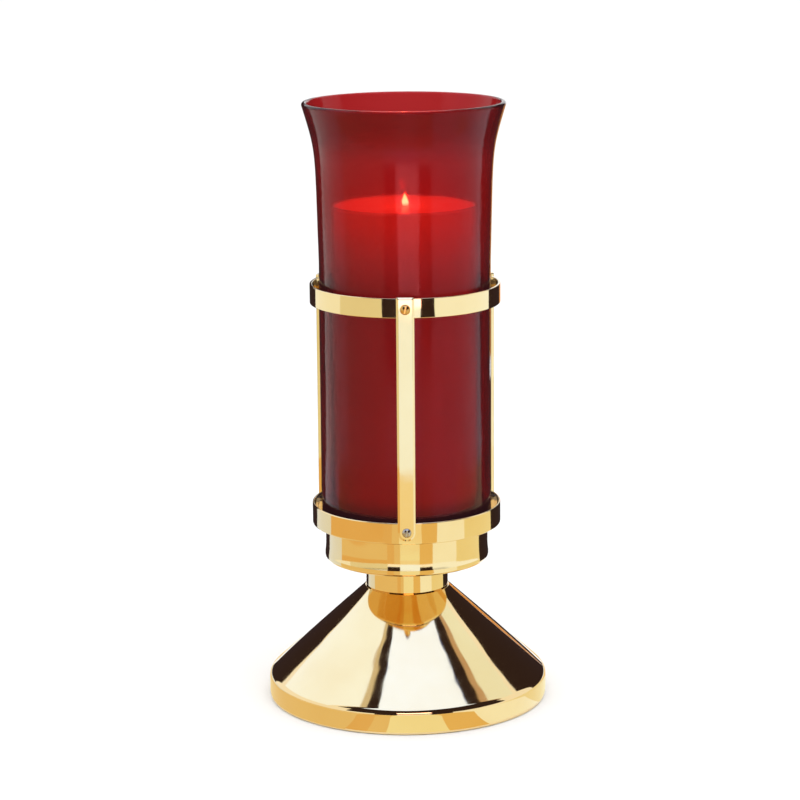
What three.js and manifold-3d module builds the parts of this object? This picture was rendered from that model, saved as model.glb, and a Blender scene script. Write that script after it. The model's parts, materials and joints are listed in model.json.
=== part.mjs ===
// Sanctuary lamp: a weighted brass base, a cup on a collar, a three-bar cage and a ruby glass globe
// with a long-burning candle in it. Millimetres, +Z up, the lamp's axis is Z, the floor is z = 0 and
// the front is -Y. Every piece that comes apart on a bench is its own mesh.

import * as THREE from 'three';
import { mergeVertices } from 'three/addons/utils/BufferGeometryUtils.js';
import Module from 'manifold-3d';

const wasm = await Module();
wasm.setup();

// ---- driving dimensions ----

const GAP = 0.3; // play between pieces that pass through or face each other
const SHEET = 1.2; // spun brass thickness
const SIDES = 48; // facets round the large turned pieces, a multiple of the three uprights
const SMALL_SIDES = 16; // facets round rods, washers and screws
const EDGE_STEPS = 2; // facets across a small rounded edge
const CORNER_STEPS = 3; // facets across a larger rounded corner
const LIP_STEPS = 4; // facets over the glass lip

const LAMP_HEIGHT = 381;

const BASE_RADIUS = 88.9;
const RIM_BOTTOM = 0.5; // the felt stands this much below the brass
const RIM_TOP = 14.6;
const CONE_TOP_RADIUS = 26.9;
const CONE_TOP = 71.6;

const FELT_RADIUS = 86.9;
const FELT_THICKNESS = 1.6;

const WEIGHT_RADIUS = 84;
const WEIGHT_SHOULDER_RADIUS = 78; // the cone bears on the weight from here out
const WEIGHT_DISH_RADIUS = 71;
const WEIGHT_DISH_FOOT_RADIUS = 61;
const WEIGHT_WEB_TOP = 11;
const WEIGHT_HUB_RADIUS = 20;
const WEIGHT_HUB_TOP_RADIUS = 18;
const WEIGHT_HUB_TOP = 14;
const WEIGHT_RECESS_RADIUS = 13;
const WEIGHT_RECESS_TOP = 9.4;

const COLLAR_RADIUS = 26.1;
const COLLAR_WALL = 1.6;
const COLLAR_CHAMFER = 0.9;
const COLLAR_TOP = 90.3;

const WELL_RADIUS = 51.6;
const WELL_FOOT_RADIUS = 52.1; // the well swells a little towards its foot
const WELL_FOOT_TOP = 100;
const WELL_CORNER = 2.6;
const FLANGE_RADIUS = 59.8;
const FLANGE_BOTTOM = 113.4;
const FLANGE_TOP = 127.1;
const FLANGE_CORNER = 1;

const RING_RADIUS = FLANGE_RADIUS;
const RING_THICKNESS = 1.6;
const RING_BOTTOM = 255.4;
const RING_TOP = 267.6;
const RING_EDGE = 0.4; // eased edge of the band

const UPRIGHT_AZIMUTHS = { front: 0, right: 120, left: -120 };
const UPRIGHT_WIDTH = 11;
const UPRIGHT_THICKNESS = 3;
const UPRIGHT_TOP = 268.7;
const UPRIGHT_BEVEL = 1.3; // width of the bevel round the outer face
const UPRIGHT_BEVEL_DEPTH = 0.9;
const UPRIGHT_TOP_CORNER = 0.8;

const TOP_SCREW = { height: 261.3, headRadius: 3.2, headHeight: 1.9, shankRadius: 1.7 };
const FOOT_SCREW = { height: 121.8, headRadius: 2.9, headHeight: 1.7, shankRadius: 1.6 };
const SCREW_SLOT_WIDTH = 0.9;
const SCREW_SLOT_DEPTH = 0.8;
const SCREW_TIP = 0.5; // thread showing past the nut, and the chamfer on its end
const SLOT_TURNS = { front: -12, right: 62, left: 35 }; // degrees that each screw stopped at
const NUT_FLATS = 6.4;
const NUT_THICKNESS = 2.3;
const NUT_SEAT = 0.45; // from the curved inner wall to the nut's flat face

const ROD_RADIUS = 5;
const ROD_HOLE = ROD_RADIUS + 0.4;
const ROD_BOTTOM = 2.6;
const ROD_TOP = 102;
const ROD_CHAMFER = 1;
const ROD_NUT_FLATS = 16;
const ROD_NUT_THICKNESS = 5;
const ROD_WASHER_THICKNESS = 1.6;
const BASE_WASHER_RADIUS = 11;
const CUP_WASHER_RADIUS = 14;

const GLOBE_RADIUS = 53.8;
const GLOBE_WALL = 3.8;
const GLOBE_HEEL = 2; // outer corner under the glass
const GLOBE_FLOOR_THICKNESS = 10;
const GLOBE_INNER_CORNER = 5.6;
const GLOBE_LIP = 1.6; // half the thickness of the rounded lip
const FLARE_START = 282;
const FLARE_CONTROLS = [
  [55.6, 353],
  [54, 348],
];
const FLARE_END = [63.25, 378.95];
const FLARE_STEPS = 8;

const CANDLE_RADIUS = 45.7;
const CANDLE_TOP = 317.5;
const CANDLE_WALL = 0.8;
const CANDLE_FLOOR = 1;
const CANDLE_CORNER = 2;
const WAX_EDGE_TOP = 317;
const WAX_POOL_TOP = 315.6;
const WAX_POOL_RADIUS = 36;
const WICK_RADIUS = 1.2;
const WICK_TOP = 319.5;
const CLIP_RADIUS = 14;
const CLIP_PLATE = 0.6;
const CLIP_TUBE_RADIUS = 2.6;
const CLIP_TUBE_HEIGHT = 5.6;

// ---- materials ----

function metal(color, roughness) {
  return new THREE.MeshStandardMaterial({ color, roughness, metalness: 1 });
}

const finishes = {
  brass: () => metal(0xe8c27a, 0.08),
  steel: () => metal(0xb9b4ac, 0.3),
  iron: () => new THREE.MeshStandardMaterial({ color: 0x35322f, roughness: 0.8, metalness: 0.6 }),
  felt: () => new THREE.MeshStandardMaterial({ color: 0x1f4a30, roughness: 1, metalness: 0 }),
  ruby: () => new THREE.MeshStandardMaterial({ color: 0x8f1420, roughness: 0.05, metalness: 0 }),
  plastic: () => new THREE.MeshStandardMaterial({ color: 0xe9e6df, roughness: 0.2, metalness: 0 }),
  wax: () => new THREE.MeshStandardMaterial({ color: 0xf2ead6, roughness: 0.6, metalness: 0 }),
  cotton: () => new THREE.MeshStandardMaterial({ color: 0xd9cdb4, roughness: 0.9, metalness: 0 }),
};

// ---- shape helpers; a profile is a list of [radius, height] that runs up the outside ----

function arc(centreRadius, centreHeight, radius, fromDegrees, toDegrees, steps) {
  const points = [];
  for (let step = 0; step <= steps; step += 1) {
    const angle = THREE.MathUtils.degToRad(fromDegrees + ((toDegrees - fromDegrees) * step) / steps);
    points.push([centreRadius + radius * Math.cos(angle), centreHeight + radius * Math.sin(angle)]);
  }
  return points;
}

// A turned solid; a profile that doesn't meet the axis is closed on itself and makes a ring.
function turned(profile, sides = SIDES) {
  const points = profile.map(([radius, height]) => new THREE.Vector2(radius, height));
  if (profile[0][0] > 0) {
    points.push(points[0].clone());
  }
  const geometry = new THREE.LatheGeometry(points, sides);
  geometry.rotateX(Math.PI / 2);
  return geometry;
}

function toSolid(geometry) {
  const bare = geometry.clone();
  bare.deleteAttribute('normal');
  bare.deleteAttribute('uv');
  const merged = mergeVertices(bare);
  const corners = merged.index.array;
  const triangles = [];
  for (let at = 0; at < corners.length; at += 3) {
    const [a, b, c] = [corners[at], corners[at + 1], corners[at + 2]];
    if (a !== b && b !== c && c !== a) {
      triangles.push(a, b, c);
    }
  }
  const mesh = new wasm.Mesh({
    numProp: 3,
    vertProperties: new Float32Array(merged.attributes.position.array),
    triVerts: new Uint32Array(triangles),
  });
  return new wasm.Manifold(mesh);
}

function fromSolid(solid) {
  const mesh = solid.getMesh();
  const geometry = new THREE.BufferGeometry();
  geometry.setAttribute('position', new THREE.BufferAttribute(mesh.vertProperties, 3));
  geometry.setIndex(new THREE.BufferAttribute(mesh.triVerts, 1));
  geometry.computeVertexNormals();
  return geometry;
}

function cutAway(geometry, cutters) {
  let solid = toSolid(geometry);
  for (const cutter of cutters) {
    solid = solid.subtract(toSolid(cutter));
  }
  return fromSolid(solid);
}

// A round cutter that points away from the axis at one upright's azimuth and one screw's height.
function radialDrill(radius, screwHeight, azimuthDegrees) {
  const drill = new THREE.CylinderGeometry(radius, radius, LAMP_HEIGHT, SMALL_SIDES);
  drill.translate(0, -LAMP_HEIGHT / 2, 0);
  drill.translate(0, 0, screwHeight);
  drill.rotateZ(THREE.MathUtils.degToRad(azimuthDegrees));
  return drill;
}

function screwHoles(screw) {
  return Object.values(UPRIGHT_AZIMUTHS).map((azimuth) =>
    radialDrill(screw.shankRadius + GAP, screw.height, azimuth),
  );
}

// ---- base ----

const coneSlope = (CONE_TOP - RIM_TOP) / (BASE_RADIUS - CONE_TOP_RADIUS);
const coneDrop = SHEET * Math.hypot(1, coneSlope); // height between the cone's two faces

function coneHeight(radius) {
  return RIM_TOP + (BASE_RADIUS - radius) * coneSlope;
}

function coneRadius(height) {
  return BASE_RADIUS - (height - RIM_TOP) / coneSlope;
}

function baseShell() {
  const inner = BASE_RADIUS - SHEET;
  return turned([
    [BASE_RADIUS, RIM_BOTTOM],
    [BASE_RADIUS, RIM_TOP],
    [CONE_TOP_RADIUS, CONE_TOP],
    [ROD_HOLE, CONE_TOP],
    [ROD_HOLE, CONE_TOP - SHEET],
    [coneRadius(CONE_TOP - SHEET + coneDrop), CONE_TOP - SHEET],
    [inner, coneHeight(inner) - coneDrop],
    [inner, RIM_BOTTOM],
  ]);
}

function baseFelt() {
  return turned([
    [0, 0],
    [FELT_RADIUS, 0],
    [FELT_RADIUS, FELT_THICKNESS],
    [0, FELT_THICKNESS],
  ]);
}

function baseWeight() {
  const clearance = coneDrop + GAP * Math.hypot(1, coneSlope);
  const shoulderTop = coneHeight(WEIGHT_SHOULDER_RADIUS) - clearance;
  return turned([
    [WEIGHT_RADIUS, FELT_THICKNESS],
    [WEIGHT_RADIUS, coneHeight(WEIGHT_RADIUS) - clearance],
    [WEIGHT_SHOULDER_RADIUS, shoulderTop],
    [WEIGHT_DISH_RADIUS, shoulderTop],
    [WEIGHT_DISH_FOOT_RADIUS, WEIGHT_WEB_TOP],
    [WEIGHT_HUB_RADIUS, WEIGHT_WEB_TOP],
    [WEIGHT_HUB_TOP_RADIUS, WEIGHT_HUB_TOP],
    [ROD_HOLE, WEIGHT_HUB_TOP],
    [ROD_HOLE, WEIGHT_RECESS_TOP],
    [WEIGHT_RECESS_RADIUS, WEIGHT_RECESS_TOP],
    [WEIGHT_RECESS_RADIUS, FELT_THICKNESS],
  ]);
}

// ---- centre fixing ----

function centreRod() {
  return turned(
    [
      [0, ROD_BOTTOM],
      [ROD_RADIUS, ROD_BOTTOM],
      [ROD_RADIUS, ROD_TOP - ROD_CHAMFER],
      [ROD_RADIUS - ROD_CHAMFER, ROD_TOP],
      [0, ROD_TOP],
    ],
    SMALL_SIDES,
  );
}

function washer(outerRadius, bottom) {
  return turned(
    [
      [outerRadius, bottom],
      [outerRadius, bottom + ROD_WASHER_THICKNESS],
      [ROD_HOLE, bottom + ROD_WASHER_THICKNESS],
      [ROD_HOLE, bottom],
    ],
    SMALL_SIDES,
  );
}

// A hexagon nut lying flat, from z = 0 up.
function hexNut(acrossFlats, thickness, holeRadius) {
  const corner = acrossFlats / 2 / Math.cos(Math.PI / 6);
  const outline = new THREE.Shape();
  for (let side = 0; side < 6; side += 1) {
    const angle = (side * Math.PI) / 3;
    const point = [corner * Math.cos(angle), corner * Math.sin(angle)];
    if (side === 0) {
      outline.moveTo(...point);
    } else {
      outline.lineTo(...point);
    }
  }
  outline.closePath();
  const hole = new THREE.Path();
  hole.absarc(0, 0, holeRadius, 0, Math.PI * 2, true);
  outline.holes.push(hole);
  return new THREE.ExtrudeGeometry(outline, {
    depth: thickness,
    bevelEnabled: false,
    curveSegments: SMALL_SIDES / 2,
  });
}

// ---- collar and cup ----

function neckCollar() {
  const inner = COLLAR_RADIUS - COLLAR_WALL;
  return turned([
    [COLLAR_RADIUS - COLLAR_CHAMFER, CONE_TOP],
    [COLLAR_RADIUS, CONE_TOP + COLLAR_CHAMFER],
    [COLLAR_RADIUS, COLLAR_TOP],
    [ROD_HOLE, COLLAR_TOP],
    [ROD_HOLE, COLLAR_TOP - COLLAR_WALL],
    [inner, COLLAR_TOP - COLLAR_WALL],
    [inner, CONE_TOP],
  ]);
}

const cupFloor = COLLAR_TOP + SHEET;
const ledgeTop = FLANGE_BOTTOM + SHEET;
const flangeInner = FLANGE_RADIUS - SHEET;

function holderCup() {
  const innerCorner = WELL_CORNER - SHEET;
  const cornerRadius = WELL_FOOT_RADIUS - WELL_CORNER;
  const cornerHeight = COLLAR_TOP + WELL_CORNER;
  const lip = SHEET / 2;
  const shape = turned([
    [ROD_HOLE, COLLAR_TOP],
    ...arc(cornerRadius, cornerHeight, WELL_CORNER, -90, 0, CORNER_STEPS),
    [WELL_RADIUS, WELL_FOOT_TOP],
    [WELL_RADIUS, FLANGE_BOTTOM],
    ...arc(FLANGE_RADIUS - FLANGE_CORNER, FLANGE_BOTTOM + FLANGE_CORNER, FLANGE_CORNER, -90, 0, EDGE_STEPS),
    ...arc(FLANGE_RADIUS - lip, FLANGE_TOP - lip, lip, 0, 180, EDGE_STEPS),
    [flangeInner, ledgeTop],
    [WELL_RADIUS - SHEET, ledgeTop],
    [WELL_RADIUS - SHEET, WELL_FOOT_TOP],
    ...arc(cornerRadius, cornerHeight, innerCorner, 0, -90, EDGE_STEPS),
    [ROD_HOLE, cupFloor],
  ]);
  return cutAway(shape, screwHoles(FOOT_SCREW));
}

// ---- cage ----

const ringInner = RING_RADIUS - RING_THICKNESS;
const uprightInner = RING_RADIUS + GAP;
const uprightOuter = uprightInner + UPRIGHT_THICKNESS;

function globeRing() {
  const shape = turned([
    [RING_RADIUS - RING_EDGE, RING_BOTTOM],
    [RING_RADIUS, RING_BOTTOM + RING_EDGE],
    [RING_RADIUS, RING_TOP - RING_EDGE],
    [RING_RADIUS - RING_EDGE, RING_TOP],
    [ringInner + RING_EDGE, RING_TOP],
    [ringInner, RING_TOP - RING_EDGE],
    [ringInner, RING_BOTTOM + RING_EDGE],
    [ringInner + RING_EDGE, RING_BOTTOM],
  ]);
  return cutAway(shape, screwHoles(TOP_SCREW));
}

// A flat bar in front of the axis: round at the foot about its screw, bevelled round its outer face.
function upright() {
  const half = UPRIGHT_WIDTH / 2;
  const corner = UPRIGHT_TOP_CORNER;
  const outline = new THREE.Shape();
  outline.absarc(0, FOOT_SCREW.height, half, Math.PI, Math.PI * 2, false);
  outline.lineTo(half, UPRIGHT_TOP - corner);
  outline.lineTo(half - corner, UPRIGHT_TOP);
  outline.lineTo(corner - half, UPRIGHT_TOP);
  outline.lineTo(-half, UPRIGHT_TOP - corner);
  outline.closePath();
  const bar = new THREE.ExtrudeGeometry(outline, {
    depth: UPRIGHT_THICKNESS - UPRIGHT_BEVEL_DEPTH,
    bevelThickness: UPRIGHT_BEVEL_DEPTH,
    bevelSize: UPRIGHT_BEVEL,
    bevelOffset: -UPRIGHT_BEVEL,
    bevelSegments: 1,
    curveSegments: SMALL_SIDES / 2,
  });
  const backBevel = new THREE.BoxGeometry(UPRIGHT_WIDTH * 2, LAMP_HEIGHT, UPRIGHT_BEVEL_DEPTH * 2);
  backBevel.translate(0, LAMP_HEIGHT / 2, -UPRIGHT_BEVEL_DEPTH);
  const trimmed = cutAway(bar, [backBevel]);
  trimmed.rotateX(Math.PI / 2);
  trimmed.translate(0, -uprightInner, 0);
  const drills = [TOP_SCREW, FOOT_SCREW].map((screw) =>
    radialDrill(screw.shankRadius + GAP, screw.height, 0),
  );
  return cutAway(trimmed, drills);
}

// A slotted round-head screw along -Y, with its head on the upright and its tip at tipRadius.
function slottedScrew(screw, tipRadius, slotTurnDegrees) {
  const seat = uprightOuter + GAP;
  const { headRadius, headHeight, shankRadius } = screw;
  const domeRadius = (headRadius ** 2 + headHeight ** 2) / (2 * headHeight);
  const edgeDegrees = THREE.MathUtils.radToDeg(Math.asin((domeRadius - headHeight) / domeRadius));
  const dome = arc(0, headHeight - domeRadius, domeRadius, edgeDegrees, 90, CORNER_STEPS);
  dome[dome.length - 1][0] = 0;
  const body = turned(
    [
      [0, tipRadius - seat],
      [shankRadius - SCREW_TIP, tipRadius - seat],
      [shankRadius, tipRadius - seat + SCREW_TIP],
      [shankRadius, 0],
      ...dome,
    ],
    SMALL_SIDES,
  );
  const slot = new THREE.BoxGeometry(SCREW_SLOT_WIDTH, headRadius * 3, SCREW_SLOT_DEPTH * 2);
  slot.translate(0, 0, headHeight);
  slot.rotateZ(THREE.MathUtils.degToRad(slotTurnDegrees));
  const geometry = cutAway(body, [slot]);
  geometry.rotateX(Math.PI / 2);
  geometry.translate(0, -seat, 0);
  return geometry;
}

// A nut along -Y inside a curved wall of the given inner radius.
function wallNut(screw, wallRadius) {
  const nut = hexNut(NUT_FLATS, NUT_THICKNESS, screw.shankRadius + GAP);
  nut.rotateX(Math.PI / 2);
  nut.translate(0, NUT_SEAT + NUT_THICKNESS - wallRadius, 0);
  return nut;
}

// ---- globe ----

function rubyGlobe() {
  const bottom = ledgeTop;
  const floor = bottom + GLOBE_FLOOR_THICKNESS;
  const inner = GLOBE_RADIUS - GLOBE_WALL;
  const flare = new THREE.CubicBezierCurve(
    new THREE.Vector2(GLOBE_RADIUS, FLARE_START),
    new THREE.Vector2(...FLARE_CONTROLS[0]),
    new THREE.Vector2(...FLARE_CONTROLS[1]),
    new THREE.Vector2(...FLARE_END),
  );
  const outside = [];
  const inside = [];
  for (let step = 0; step <= FLARE_STEPS; step += 1) {
    const along = step / FLARE_STEPS;
    const point = flare.getPoint(along);
    const tangent = flare.getTangent(along);
    const wall = THREE.MathUtils.lerp(GLOBE_WALL, GLOBE_LIP * 2, along);
    outside.push([point.x, point.y]);
    inside.unshift([point.x - tangent.y * wall, point.y + tangent.x * wall]);
  }
  const lipCentre = [
    (outside[FLARE_STEPS][0] + inside[0][0]) / 2,
    (outside[FLARE_STEPS][1] + inside[0][1]) / 2,
  ];
  const lipStart = THREE.MathUtils.radToDeg(
    Math.atan2(outside[FLARE_STEPS][1] - lipCentre[1], outside[FLARE_STEPS][0] - lipCentre[0]),
  );
  const lip = arc(...lipCentre, GLOBE_LIP, lipStart, lipStart + 180, LIP_STEPS).slice(1, -1);
  return turned([
    [0, bottom],
    ...arc(GLOBE_RADIUS - GLOBE_HEEL, bottom + GLOBE_HEEL, GLOBE_HEEL, -90, 0, EDGE_STEPS),
    ...outside,
    ...lip,
    ...inside,
    ...arc(inner - GLOBE_INNER_CORNER, floor + GLOBE_INNER_CORNER, GLOBE_INNER_CORNER, 0, -90, CORNER_STEPS),
    [0, floor],
  ]);
}

// ---- candle ----

const candleBottom = ledgeTop + GLOBE_FLOOR_THICKNESS;
const waxBottom = candleBottom + CANDLE_FLOOR;

function candleContainer() {
  const inner = CANDLE_RADIUS - CANDLE_WALL;
  const corner = CANDLE_CORNER - CANDLE_WALL;
  return turned([
    [0, candleBottom],
    ...arc(CANDLE_RADIUS - CANDLE_CORNER, candleBottom + CANDLE_CORNER, CANDLE_CORNER, -90, 0, EDGE_STEPS),
    [CANDLE_RADIUS, CANDLE_TOP],
    [inner, CANDLE_TOP],
    ...arc(inner - corner, waxBottom + corner, corner, 0, -90, EDGE_STEPS),
    [0, waxBottom],
  ]);
}

function candleWax() {
  const outer = CANDLE_RADIUS - CANDLE_WALL - GAP;
  const bore = WICK_RADIUS + GAP;
  const plateTop = waxBottom + CLIP_PLATE + GAP;
  const tubeTop = waxBottom + CLIP_TUBE_HEIGHT + GAP;
  return turned([
    [CLIP_RADIUS + GAP, waxBottom],
    [outer - CANDLE_CORNER, waxBottom],
    [outer, waxBottom + CANDLE_CORNER],
    [outer, WAX_EDGE_TOP],
    [WAX_POOL_RADIUS, WAX_POOL_TOP],
    [bore, WAX_POOL_TOP],
    [bore, tubeTop],
    [CLIP_TUBE_RADIUS + GAP, tubeTop],
    [CLIP_TUBE_RADIUS + GAP, plateTop],
    [CLIP_RADIUS + GAP, plateTop],
  ]);
}

function wickClip() {
  const bore = WICK_RADIUS + GAP;
  return turned(
    [
      [CLIP_RADIUS, waxBottom],
      [CLIP_RADIUS, waxBottom + CLIP_PLATE],
      [CLIP_TUBE_RADIUS, waxBottom + CLIP_PLATE],
      [CLIP_TUBE_RADIUS, waxBottom + CLIP_TUBE_HEIGHT],
      [bore, waxBottom + CLIP_TUBE_HEIGHT],
      [bore, waxBottom],
    ],
    SMALL_SIDES,
  );
}

function candleWick() {
  return turned(
    [
      [0, waxBottom + CLIP_PLATE],
      [WICK_RADIUS, waxBottom + CLIP_PLATE],
      [WICK_RADIUS, WICK_TOP],
      [0, WICK_TOP],
    ],
    SMALL_SIDES,
  );
}

// ---- assembly ----

const lamp = new THREE.Group();

function place(name, geometry, finish, parent = lamp) {
  const mesh = new THREE.Mesh(geometry, finishes[finish]());
  mesh.name = name;
  parent.add(mesh);
  return mesh;
}

place('base_felt', baseFelt(), 'felt');
place('base_weight', baseWeight(), 'iron');
place('base_shell', baseShell(), 'brass');
place('neck_collar', neckCollar(), 'brass');
place('holder_cup', holderCup(), 'brass');

const rodNut = hexNut(ROD_NUT_FLATS, ROD_NUT_THICKNESS, ROD_HOLE);
const baseWasherBottom = WEIGHT_RECESS_TOP - ROD_WASHER_THICKNESS;
place('centre_rod', centreRod(), 'steel');
place('base_washer', washer(BASE_WASHER_RADIUS, baseWasherBottom), 'steel');
place('base_nut', rodNut.clone(), 'steel').position.z = baseWasherBottom - ROD_NUT_THICKNESS;
place('cup_washer', washer(CUP_WASHER_RADIUS, cupFloor), 'steel');
place('cup_nut', rodNut.clone(), 'steel').position.z = cupFloor + ROD_WASHER_THICKNESS;

place('globe_ring', globeRing(), 'brass');

const fixings = [
  { level: 'top', screw: TOP_SCREW, wall: ringInner, finish: 'brass' },
  { level: 'foot', screw: FOOT_SCREW, wall: flangeInner, finish: 'steel' },
];
for (const [side, azimuth] of Object.entries(UPRIGHT_AZIMUTHS)) {
  const post = new THREE.Group();
  post.rotation.z = THREE.MathUtils.degToRad(azimuth);
  lamp.add(post);
  place(`upright_${side}`, upright(), 'brass', post);
  for (const { level, screw, wall, finish } of fixings) {
    const tip = wall - NUT_SEAT - NUT_THICKNESS - SCREW_TIP;
    const bolt = slottedScrew(screw, tip, SLOT_TURNS[side]);
    place(`${level}_screw_${side}`, bolt, finish, post).position.z = screw.height;
    place(`${level}_nut_${side}`, wallNut(screw, wall), finish, post).position.z = screw.height;
  }
}

place('ruby_globe', rubyGlobe(), 'ruby');
place('candle_container', candleContainer(), 'plastic');
place('candle_wax', candleWax(), 'wax');
place('wick_clip', wickClip(), 'steel');
place('candle_wick', candleWick(), 'cotton');

export default lamp;
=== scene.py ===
"""Looks of the sanctuary lamp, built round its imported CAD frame.

Metres, +Z up, the lamp's axis is Z and the front is -Y. Each CAD node is replaced by a finer piece
of the same size, the flame is added to them, and every material is procedural.
"""

import json
import math

import bmesh
import bpy
from mathutils import Matrix, Vector, noise


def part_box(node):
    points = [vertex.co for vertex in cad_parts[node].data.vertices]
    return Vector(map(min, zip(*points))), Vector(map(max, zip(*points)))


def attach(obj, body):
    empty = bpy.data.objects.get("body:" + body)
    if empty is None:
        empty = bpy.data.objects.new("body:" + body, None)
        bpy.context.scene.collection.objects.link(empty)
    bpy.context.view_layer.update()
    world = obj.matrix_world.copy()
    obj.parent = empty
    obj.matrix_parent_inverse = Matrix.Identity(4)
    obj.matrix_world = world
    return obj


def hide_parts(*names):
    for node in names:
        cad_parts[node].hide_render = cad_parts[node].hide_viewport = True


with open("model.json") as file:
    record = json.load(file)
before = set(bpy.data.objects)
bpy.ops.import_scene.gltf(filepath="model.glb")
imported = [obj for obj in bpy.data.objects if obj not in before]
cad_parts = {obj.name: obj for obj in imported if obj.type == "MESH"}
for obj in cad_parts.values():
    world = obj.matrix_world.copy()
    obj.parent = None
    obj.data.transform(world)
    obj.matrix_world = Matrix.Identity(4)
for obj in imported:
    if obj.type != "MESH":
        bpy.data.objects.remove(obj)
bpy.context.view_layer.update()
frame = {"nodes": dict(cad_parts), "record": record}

# ---- sizes that the frame's boxes don't give ----

SIDES = 192  # round the large turned pieces
SMALL_SIDES = 48  # round rods, washers and screws

GAP = 0.0003  # play between pieces that pass through or face each other
SHEET = 0.0012  # spun brass thickness
CREASE = 0.00025  # rounding of a cut edge
EDGE = 0.0002  # roundings of other edges, from the finest up
SOFT_EDGE = 0.0003
EASED_EDGE = 0.0004
ROUND_EDGE = 0.0005
CAST_EDGE = 0.0008
MERGE = 0.000001  # vertices nearer than this are one

RIM_TOP = 0.0146
RIM_SHOULDER = 0.006  # rounding between the cone and the upright rim
CONE_TOP_RADIUS = 0.0269
COLLAR_WALL = 0.0016
COLLAR_CHAMFER = 0.0009
COLLAR_FOOT_EDGE = 0.0001

WELL_RADIUS = 0.0516
WELL_FOOT_RADIUS = 0.0521
WELL_FOOT_RIM = 0.0944  # height up to which the well is at its widest
WELL_FOOT_RIM_BEND = 0.003  # rounding at that height
WELL_FOOT_BEND = 0.0979
WELL_FOOT_SWELL = 0.051  # radius of the well's gentle swell towards its foot
WELL_CORNER = 0.0026
FLANGE_BOTTOM = 0.1134
FLANGE_CORNER = 0.001
FLANGE_LIP = SHEET * 0.49  # just under half the sheet, so the rim is nearly a full round

RING_THICKNESS = 0.0016
RING_EDGE = 0.0004

UPRIGHT_AZIMUTHS = {"front": 0, "right": 120, "left": -120}
UPRIGHT_BEVEL = 0.0013
UPRIGHT_BEVEL_DEPTH = 0.0009
UPRIGHT_CORNER = 0.0009
UPRIGHT_CORNER_TAPER = 0.4  # how fast that corner shrinks as the outline is drawn in
UPRIGHT_FLAT = 0.6  # share of the half width at which the section's flat faces are closed
UPRIGHT_ARC_STEPS = 24
UPRIGHT_CORNER_STEPS = 4

HEAD_HEIGHTS = {"top": 0.0019, "foot": 0.0017}
SHANK_RADII = {"top": 0.0017, "foot": 0.0016}
SLOT_WIDTH = 0.0009
SLOT_DEPTH = 0.0008
SLOT_TURNS = {"front": -12, "right": 62, "left": 35}  # degrees that each screw stopped at
SCREW_PITCH = 0.0007
HEAD_UNDERCUT = 0.0001  # how much smaller a head is on its flat side
DOME_STEPS = 12
THREAD_DEPTH = 0.45  # of the pitch
THREAD_TAPER = 0.16  # of the radius, at the shank's ends
THREAD_ROWS = 5  # for each turn
NUT_FLATS = 0.0064
NUT_THICKNESS = 0.0023
NUT_PAST = 0.2  # of the thickness: the blank is so much longer at each end, the turning so much wider
NUT_FACE = 0.97  # of half the flats: radius of the flat ring at each end
NUT_CHAMFER = 0.6  # drop towards the turned-off corner for each unit outwards

ROD_RADIUS = 0.005
ROD_HOLE = 0.0054
ROD_PITCH = 0.0015
ROD_NUT_FLATS = 0.016

WEIGHT_SHOULDER_RADIUS = 0.078
WEIGHT_DISH_RADIUS = 0.071
WEIGHT_DISH_FOOT_RADIUS = 0.061
WEIGHT_WEB_TOP = 0.011
WEIGHT_HUB_RADIUS = 0.02
WEIGHT_HUB_TOP_RADIUS = 0.018
WEIGHT_HUB_TOP = 0.014
WEIGHT_RECESS_RADIUS = 0.013
WEIGHT_RECESS_TOP = 0.0094
WEIGHT_DISH_EDGE = 0.0015
WEIGHT_DISH_FILLET = 0.003
WEIGHT_HUB_FILLET = 0.0012

GLOBE_RADIUS = 0.0538
GLOBE_WALL = 0.0038
GLOBE_HEEL = 0.002
GLOBE_INNER_CORNER = 0.0056
GLOBE_LIP = 0.0016  # half the thickness of the rounded lip
FLARE = [(GLOBE_RADIUS, 0.282), (0.0556, 0.353), (0.054, 0.348), (0.06325, 0.37887)]
FLARE_STEPS = 40
LIP_STEPS = 12

CANDLE_WALL = 0.0008
CANDLE_LIP = CANDLE_WALL * 0.45  # just under half the wall, so the rim is nearly a full round
CANDLE_CORNER = 0.002
WAX_POOL_TOP = 0.3156
WAX_POOL_RADIUS = 0.036
WAX_TOP_PLAY = 0.0002  # room for the uneven top under the CAD's flat one
WAX_SHOULDER = 0.0012  # roundings at the wax's edge and at the pool's
WAX_POOL_BEND = 0.012
WAX_DIP = 0.0005  # unevenness of the top
WAX_DIP_START = 0.012  # radius inside which the pool is left even
WAX_DIP_SCALE = 60
CLIP_PLATE = 0.0006
CLIP_TUBE_RADIUS = 0.0026
WICK_RADIUS = 0.0012
WICK_STRANDS = 3
WICK_SIDES = 30
WICK_ROWS = 260
WICK_TWIST = 1300  # radians for each metre
WICK_GROOVE = 0.16  # of the radius, between two strands
WICK_LEAN = 0.0006  # of the burnt tip
WICK_THINNING = 0.3  # of the radius, at the burnt tip
FLAME_HEIGHT = 0.0085
FLAME_RADIUS = 0.0022
FLAME_ROOT_DEPTH = 0.0003  # how far the root is under the pool's top
FLAME_BELLY = 0.6  # less than 1 puts the widest place nearer the root
FLAME_FULLNESS = 0.9  # less than 1 makes it fuller
FLAME_POINT = 0.25  # of the radius, taken off towards the tip
FLAME_SWAY = 0.0005  # how far the tip leans back over the wick
FLAME_STEPS = 24
FLAME_SIDES = 32
GLOW_ABOVE_WICK = 0.003  # height of the painted glow's centre over the wick's tip

# ---- mesh helpers; a profile is a list of points (radius, height) that runs up the outside ----


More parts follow.
